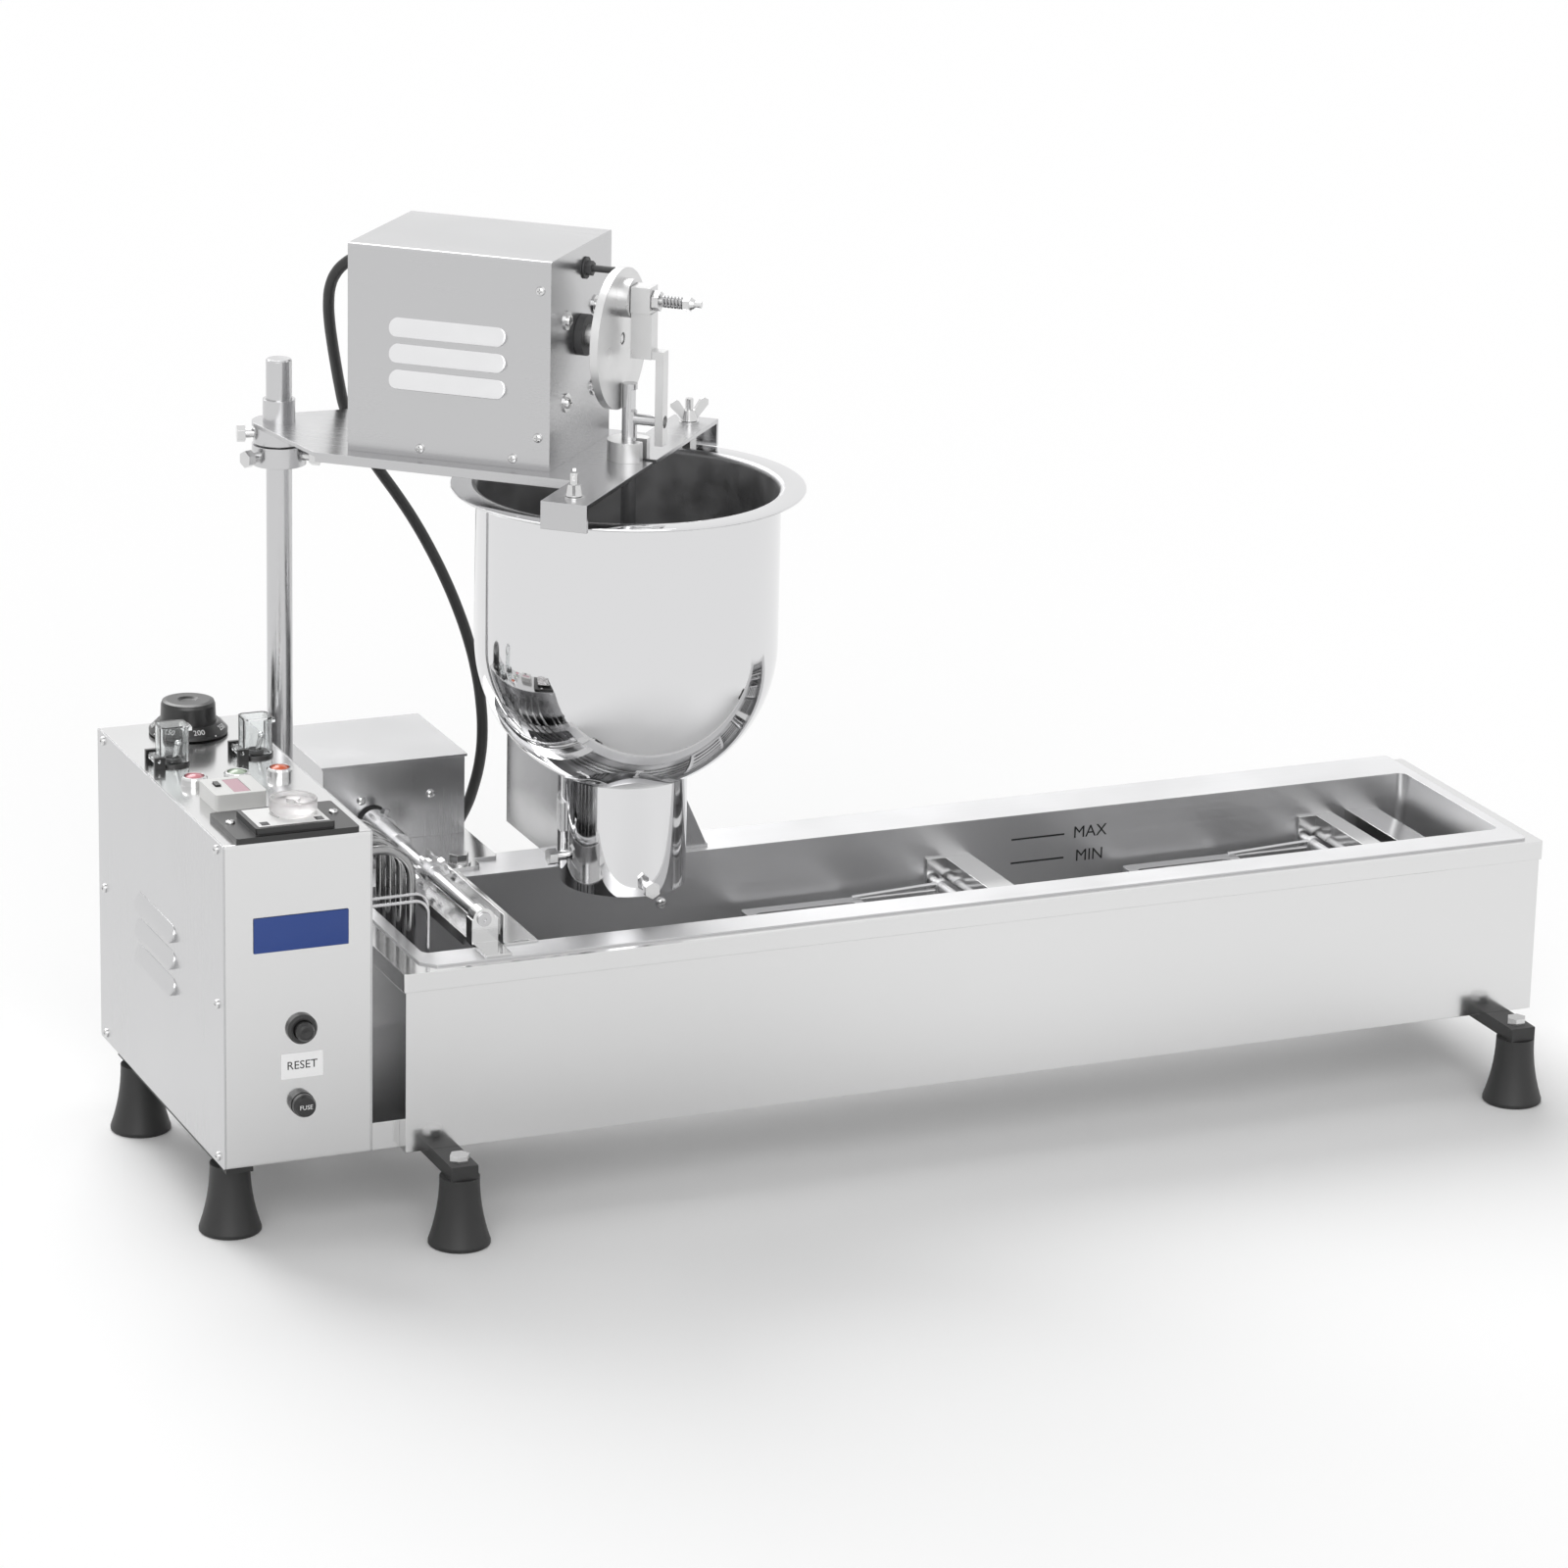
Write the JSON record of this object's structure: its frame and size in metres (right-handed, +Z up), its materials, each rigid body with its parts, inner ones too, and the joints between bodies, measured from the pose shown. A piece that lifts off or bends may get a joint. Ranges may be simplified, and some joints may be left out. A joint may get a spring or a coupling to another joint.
{
  "type": "doughnut machine",
  "caption": "Benchtop doughnut machine: a dough hopper with a crank-driven plunger over a long oil pan with lifting flippers, and a control box with dials and switches.",
  "frame": {"origin": "Middle of the machine's footprint, on the floor under the feet.", "axes": "+X runs along the oil pan from the control box to the outlet end, +Z is up and -Y is the operator's side."},
  "size_m": [1.0556, 0.4349, 0.6805],
  "materials": {
    "brushed_sheet": "satin stainless sheet",
    "polished_sheet": "mirror-polished stainless",
    "machined_steel": "turned and milled steel",
    "bright_fasteners": "bright plated",
    "spring_steel": "bright wire",
    "black_metal": "black painted",
    "black_rubber": "matt black",
    "black_plastic": "black moulded",
    "grey_plastic": "light grey moulded",
    "clear_plastic": "clear moulded",
    "red_lens": "tinted",
    "motor_metal": "cast motor and gearbox",
    "gear_plastic": "moulded electrical parts",
    "cable_rubber": "black rubber sheath"
  },
  "bodies": {
    "frame": {"control_housing": "brushed_sheet", "side_covers": "brushed_sheet", "case_screws": "bright_fasteners", "control_gear": "gear_plastic", "thermostat_body": "machined_steel", "timer_body": "black_plastic", "counter_body": "grey_plastic", "lamp_bezels": "bright_fasteners", "lamp_lenses": "red_lens", "switch_bodies": "black_plastic", "panel_bezels": "black_plastic", "link_channel": "brushed_sheet", "tank_housing": "brushed_sheet", "oil_pan": "brushed_sheet", "support_bars": "black_metal", "feet": "black_rubber", "hex_bolts": "bright_fasteners", "heater_tubes": "machined_steel", "capillary_tubes": "machined_steel", "cross_bars": "brushed_sheet", "output_chute": "brushed_sheet", "drive_bridge": "brushed_sheet", "splash_baffle": "brushed_sheet", "rear_mount_plate": "brushed_sheet", "gearmotor": "motor_metal", "drive_cover": "brushed_sheet", "post": "machined_steel", "arm_hub": "machined_steel", "arm_plate": "brushed_sheet", "motor_cover": "brushed_sheet", "crank_motor": "motor_metal", "guide_block": "machined_steel", "flange_studs": "bright_fasteners", "hopper": "polished_sheet", "hopper_dome": "polished_sheet", "hopper_neck": "polished_sheet", "former": "polished_sheet", "hopper_bracket": "brushed_sheet", "cable_glands": "black_plastic", "cable": "cable_rubber"},
    "thermostat_knob": {"thermostat_knob": "black_plastic"},
    "timer_dial": {"timer_dial": "clear_plastic"},
    "counter_button": {"counter_button": "black_plastic"},
    "switch_lever_left": {"switch_lever_left": "bright_fasteners"},
    "switch_lever_right": {"switch_lever_right": "bright_fasteners"},
    "switch_cover_left": {"switch_cover_left": "clear_plastic"},
    "switch_cover_right": {"switch_cover_right": "clear_plastic"},
    "reset_button": {"reset_button": "black_plastic"},
    "fuse_cap": {"fuse_cap": "black_plastic"},
    "flipper_1": {"flipper_1": "brushed_sheet"},
    "flipper_2": {"flipper_2": "brushed_sheet"},
    "flipper_link": {"flipper_link": "brushed_sheet"},
    "drive_shaft": {"drive_shaft": "machined_steel", "star_wheel": "machined_steel"},
    "crank": {"crank_disc": "machined_steel", "link_spring": "spring_steel"},
    "crank_link": {"crank_link": "machined_steel"},
    "plunger": {"plunger": "machined_steel"},
    "wing_nut_front": {"wing_nut_front": "bright_fasteners"},
    "wing_nut_rear": {"wing_nut_rear": "bright_fasteners"}
  },
  "joints": [
    {"name": "crank_turn", "type": "hinge", "parent": "frame", "child": "crank", "pos_m": [-0.18425, -0.0585, 0.616], "axis": [0.7419, -0.6705, 0], "range_deg": [0, 180]},
    {"name": "link_turn", "type": "hinge", "parent": "crank", "child": "crank_link", "pos_m": [-0.18425, -0.0585, 0.646], "axis": [0.7419, -0.6705, 0], "range_deg": [-180, 0]},
    {"name": "plunger_slide", "type": "slide", "parent": "frame", "child": "plunger", "axis": [0, 0, 1], "range_m": [-0.06, 0]},
    {"name": "flipper_1_turn", "type": "hinge", "parent": "frame", "child": "flipper_1", "pos_m": [0.10375, -0.0575, 0.152], "axis": [0, 1, 0], "range_deg": [0, 95]},
    {"name": "flipper_2_turn", "type": "hinge", "parent": "frame", "child": "flipper_2", "pos_m": [0.42375, -0.0575, 0.152], "axis": [0, 1, 0], "range_deg": [0, 95]},
    {"name": "flipper_link_turn", "type": "hinge", "parent": "flipper_1", "child": "flipper_link", "pos_m": [0.11375, -0.1235, 0.13468], "axis": [0, 1, 0], "range_deg": [-95, 0]},
    {"name": "drive_turn", "type": "hinge", "parent": "frame", "child": "drive_shaft", "pos_m": [-0.31925, -0.0145, 0.218], "axis": [0, 1, 0], "continuous": true},
    {"name": "thermostat_turn", "type": "hinge", "parent": "frame", "child": "thermostat_knob", "pos_m": [-0.46225, 0.1105, 0.303], "axis": [0, 0, -1], "range_deg": [0, 300]},
    {"name": "timer_turn", "type": "hinge", "parent": "frame", "child": "timer_dial", "pos_m": [-0.46025, -0.125, 0.311], "axis": [0, 0, -1], "range_deg": [0, 300]},
    {"name": "toggle_left", "type": "hinge", "parent": "frame", "child": "switch_lever_left", "pos_m": [-0.49625, 0.0415, 0.299], "axis": [0, -1, 0], "range_deg": [0, 28]},
    {"name": "flip_cover_left", "type": "hinge", "parent": "frame", "child": "switch_cover_left", "pos_m": [-0.51025, 0.0415, 0.3075], "axis": [0, -1, 0], "range_deg": [0, 100]},
    {"name": "toggle_right", "type": "hinge", "parent": "frame", "child": "switch_lever_right", "pos_m": [-0.43325, 0.0415, 0.299], "axis": [0, -1, 0], "range_deg": [0, 28]},
    {"name": "flip_cover_right", "type": "hinge", "parent": "frame", "child": "switch_cover_right", "pos_m": [-0.44725, 0.0415, 0.3075], "axis": [0, -1, 0], "range_deg": [0, 100]},
    {"name": "reset_press", "type": "slide", "parent": "frame", "child": "reset_button", "axis": [0, 1, 0], "range_m": [0, 0.003], "stiffness_N_per_m": 200, "springref_m": -0.001},
    {"name": "counter_press", "type": "slide", "parent": "frame", "child": "counter_button", "axis": [0, 0, -1], "range_m": [0, 0.001], "stiffness_N_per_m": 100, "springref_m": -0.001},
    {"name": "fuse_turn", "type": "hinge", "parent": "frame", "child": "fuse_cap", "pos_m": [-0.46525, -0.1595, 0.106], "axis": [0, -1, 0], "range_deg": [-90, 0]},
    {"name": "wing_nut_front_turn", "type": "hinge", "parent": "frame", "child": "wing_nut_front", "pos_m": [-0.26114, -0.14806, 0.532], "axis": [0, 0, 1], "continuous": true},
    {"name": "wing_nut_rear_turn", "type": "hinge", "parent": "frame", "child": "wing_nut_rear", "pos_m": [-0.10291, 0.02704, 0.532], "axis": [0, 0, 1], "continuous": true}
  ],
  "couplings": [
    {"joint": "link_turn", "follows": "crank_turn", "ratio": -1},
    {"joint": "plunger_slide", "follows": "crank_turn", "m_per_rad": -0.019099},
    {"joint": "flipper_2_turn", "follows": "flipper_1_turn", "ratio": 1},
    {"joint": "flipper_link_turn", "follows": "flipper_1_turn", "ratio": -1}
  ]
}
